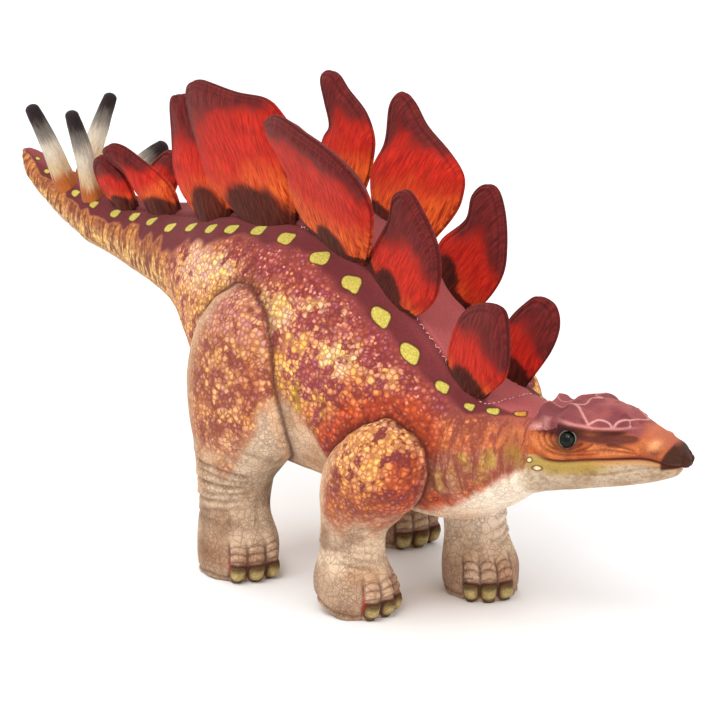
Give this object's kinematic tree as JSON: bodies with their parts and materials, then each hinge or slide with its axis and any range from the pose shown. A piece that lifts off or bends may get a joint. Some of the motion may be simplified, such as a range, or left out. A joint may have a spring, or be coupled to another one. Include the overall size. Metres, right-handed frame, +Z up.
{
  "type": "stuffed dinosaur",
  "caption": "Plush stegosaurus of printed short-pile fabric: stuffed body, tail, head and legs, with rows of upright back plates and soft tail spikes, standing on its soles.",
  "frame": {"origin": "centre of the bounding box in X and Y, on the plane of the soles", "axes": "+X from tail to head along the body, +Y to the animal's left, +Z up"},
  "size_m": [0.3808, 0.1119, 0.1893],
  "materials": {
    "side_fabric": "short printed pile, matt with a soft sheen",
    "tail_fabric": "short printed pile, matt",
    "back_fabric": "short printed pile, matt",
    "underside_fabric": "short printed pile, matt",
    "plate_fabric": "short printed pile, matt with a soft sheen",
    "spike_fabric": "short printed pile, matt",
    "polyester_filling": "loose white fibre",
    "eye_plastic": "polished",
    "washer_plastic": "plain moulded"
  },
  "bodies": {
    "torso": {"side_panel_right": "side_fabric", "side_panel_left": "side_fabric", "back_panel": "back_fabric", "belly_panel": "underside_fabric", "torso_filling": "polyester_filling"},
    "head": {"head_side_right": "side_fabric", "head_side_left": "side_fabric", "head_top_panel": "back_fabric", "throat_panel": "underside_fabric", "head_filling": "polyester_filling", "eye_right": "eye_plastic", "eye_left": "eye_plastic", "eye_washer_right": "washer_plastic", "eye_washer_left": "washer_plastic"},
    "tail_base": {"tail_base_upper": "tail_fabric", "tail_base_under": "underside_fabric", "tail_base_filling": "polyester_filling"},
    "tail_tip": {"tail_tip_upper": "tail_fabric", "tail_tip_under": "underside_fabric", "tail_tip_filling": "polyester_filling"},
    "front_leg_right": {"front_leg_right_outer": "side_fabric", "front_leg_right_inner": "underside_fabric", "front_leg_right_sole": "underside_fabric", "front_leg_right_filling": "polyester_filling"},
    "front_leg_left": {"front_leg_left_outer": "side_fabric", "front_leg_left_inner": "underside_fabric", "front_leg_left_sole": "underside_fabric", "front_leg_left_filling": "polyester_filling"},
    "hind_leg_right": {"hind_leg_right_outer": "side_fabric", "hind_leg_right_inner": "underside_fabric", "hind_leg_right_sole": "underside_fabric", "hind_leg_right_filling": "polyester_filling"},
    "hind_leg_left": {"hind_leg_left_outer": "side_fabric", "hind_leg_left_inner": "underside_fabric", "hind_leg_left_sole": "underside_fabric", "hind_leg_left_filling": "polyester_filling"},
    "plate_1_right": {"plate_1_right": "plate_fabric"},
    "plate_1_left": {"plate_1_left": "plate_fabric"},
    "plate_2_right": {"plate_2_right": "plate_fabric"},
    "plate_2_left": {"plate_2_left": "plate_fabric"},
    "plate_3_right": {"plate_3_right": "plate_fabric"},
    "plate_3_left": {"plate_3_left": "plate_fabric"},
    "plate_4_right": {"plate_4_right": "plate_fabric"},
    "plate_4_left": {"plate_4_left": "plate_fabric"},
    "plate_5_right": {"plate_5_right": "plate_fabric"},
    "plate_5_left": {"plate_5_left": "plate_fabric"},
    "plate_6_right": {"plate_6_right": "plate_fabric"},
    "plate_6_left": {"plate_6_left": "plate_fabric"},
    "plate_7_right": {"plate_7_right": "plate_fabric"},
    "plate_7_left": {"plate_7_left": "plate_fabric"},
    "spike_front_right": {"spike_front_right": "spike_fabric"},
    "spike_front_left": {"spike_front_left": "spike_fabric"},
    "spike_rear_right": {"spike_rear_right": "spike_fabric"},
    "spike_rear_left": {"spike_rear_left": "spike_fabric"}
  },
  "joints": [
    {"name": "neck_turn", "type": "hinge", "parent": "torso", "child": "head", "pos_m": [0.11864, 0.0008, 0.0675], "axis": [0, 0, 1], "range_deg": [-10, 10], "stiffness_Nm_per_rad": 0.25},
    {"name": "tail_base_swing", "type": "hinge", "parent": "torso", "child": "tail_base", "pos_m": [-0.06036, 0, 0.106], "axis": [0, 0, 1], "range_deg": [-10, 10], "stiffness_Nm_per_rad": 0.3},
    {"name": "tail_tip_swing", "type": "hinge", "parent": "tail_base", "child": "tail_tip", "pos_m": [-0.12936, 0, 0.113], "axis": [0, 0, 1], "range_deg": [-14, 14], "stiffness_Nm_per_rad": 0.1},
    {"name": "front_leg_right_swing", "type": "hinge", "parent": "torso", "child": "front_leg_right", "pos_m": [0.09064, -0.037, 0.068], "axis": [0, 1, 0], "range_deg": [-10, 10], "stiffness_Nm_per_rad": 2},
    {"name": "front_leg_left_swing", "type": "hinge", "parent": "torso", "child": "front_leg_left", "pos_m": [0.09064, 0.037, 0.068], "axis": [0, 1, 0], "range_deg": [-10, 10], "stiffness_Nm_per_rad": 2},
    {"name": "hind_leg_right_swing", "type": "hinge", "parent": "torso", "child": "hind_leg_right", "pos_m": [0.00764, -0.037, 0.084], "axis": [0, 1, 0], "range_deg": [-10, 10], "stiffness_Nm_per_rad": 2},
    {"name": "hind_leg_left_swing", "type": "hinge", "parent": "torso", "child": "hind_leg_left", "pos_m": [0.00764, 0.037, 0.084], "axis": [0, 1, 0], "range_deg": [-10, 10], "stiffness_Nm_per_rad": 2},
    {"name": "plate_1_right_flop", "type": "hinge", "parent": "torso", "child": "plate_1_right", "pos_m": [0.11014, -0.0105, 0.09535], "axis": [0.9104, 0, -0.4137], "range_deg": [-18, 18], "stiffness_Nm_per_rad": 0.06},
    {"name": "plate_1_left_flop", "type": "hinge", "parent": "torso", "child": "plate_1_left", "pos_m": [0.11014, 0.0105, 0.09535], "axis": [0.9104, 0, -0.4137], "range_deg": [-18, 18], "stiffness_Nm_per_rad": 0.06},
    {"name": "plate_2_right_flop", "type": "hinge", "parent": "torso", "child": "plate_2_right", "pos_m": [0.06914, -0.0135, 0.1249], "axis": [0.8024, 0, -0.5968], "range_deg": [-6, 6], "stiffness_Nm_per_rad": 0.06},
    {"name": "plate_2_left_flop", "type": "hinge", "parent": "torso", "child": "plate_2_left", "pos_m": [0.06914, 0.0135, 0.1249], "axis": [0.8024, 0, -0.5968], "range_deg": [-6, 6], "stiffness_Nm_per_rad": 0.06},
    {"name": "plate_3_right_flop", "type": "hinge", "parent": "torso", "child": "plate_3_right", "pos_m": [0.04114, -0.0165, 0.13808], "axis": [0.9582, 0, -0.2861], "range_deg": [-6, 6], "stiffness_Nm_per_rad": 0.06},
    {"name": "plate_3_left_flop", "type": "hinge", "parent": "torso", "child": "plate_3_left", "pos_m": [0.04114, 0.0165, 0.13808], "axis": [0.9582, 0, -0.2861], "range_deg": [-6, 6], "stiffness_Nm_per_rad": 0.06},
    {"name": "plate_4_right_flop", "type": "hinge", "parent": "torso", "child": "plate_4_right", "pos_m": [-0.00436, -0.017, 0.14021], "axis": [0.9919, 0, 0.1273], "range_deg": [-6, 6], "stiffness_Nm_per_rad": 0.06},
    {"name": "plate_4_left_flop", "type": "hinge", "parent": "torso", "child": "plate_4_left", "pos_m": [-0.00436, 0.017, 0.14021], "axis": [0.9919, 0, 0.1273], "range_deg": [-6, 6], "stiffness_Nm_per_rad": 0.06},
    {"name": "plate_5_right_flop", "type": "hinge", "parent": "torso", "child": "plate_5_right", "pos_m": [-0.03936, -0.0155, 0.13397], "axis": [0.9698, 0, 0.244], "range_deg": [-6, 6], "stiffness_Nm_per_rad": 0.06},
    {"name": "plate_5_left_flop", "type": "hinge", "parent": "torso", "child": "plate_5_left", "pos_m": [-0.03936, 0.0155, 0.13397], "axis": [0.9698, 0, 0.244], "range_deg": [-6, 6], "stiffness_Nm_per_rad": 0.06},
    {"name": "plate_6_right_flop", "type": "hinge", "parent": "tail_base", "child": "plate_6_right", "pos_m": [-0.08036, -0.01, 0.12773], "axis": [0.9847, 0, 0.1742], "range_deg": [-20, 20], "stiffness_Nm_per_rad": 0.06},
    {"name": "plate_6_left_flop", "type": "hinge", "parent": "tail_base", "child": "plate_6_left", "pos_m": [-0.08036, 0.01, 0.12773], "axis": [0.9847, 0, 0.1742], "range_deg": [-20, 20], "stiffness_Nm_per_rad": 0.06},
    {"name": "plate_7_right_flop", "type": "hinge", "parent": "tail_base", "child": "plate_7_right", "pos_m": [-0.10886, -0.008, 0.12467], "axis": [0.9978, 0, 0.0661], "range_deg": [-20, 20], "stiffness_Nm_per_rad": 0.06},
    {"name": "plate_7_left_flop", "type": "hinge", "parent": "tail_base", "child": "plate_7_left", "pos_m": [-0.10886, 0.008, 0.12467], "axis": [0.9978, 0, 0.0661], "range_deg": [-20, 20], "stiffness_Nm_per_rad": 0.06},
    {"name": "spike_front_right_flop", "type": "hinge", "parent": "tail_tip", "child": "spike_front_right", "pos_m": [-0.13336, -0.007, 0.12477], "axis": [1, 0, 0], "range_deg": [-12, 12], "stiffness_Nm_per_rad": 0.04},
    {"name": "spike_front_left_flop", "type": "hinge", "parent": "tail_tip", "child": "spike_front_left", "pos_m": [-0.13336, 0.007, 0.12477], "axis": [1, 0, 0], "range_deg": [-12, 12], "stiffness_Nm_per_rad": 0.04},
    {"name": "spike_rear_right_flop", "type": "hinge", "parent": "tail_tip", "child": "spike_rear_right", "pos_m": [-0.15436, -0.0065, 0.12643], "axis": [1, 0, 0], "range_deg": [-12, 12], "stiffness_Nm_per_rad": 0.04},
    {"name": "spike_rear_left_flop", "type": "hinge", "parent": "tail_tip", "child": "spike_rear_left", "pos_m": [-0.15636, 0.0065, 0.12664], "axis": [1, 0, 0], "range_deg": [-12, 12], "stiffness_Nm_per_rad": 0.04}
  ]
}
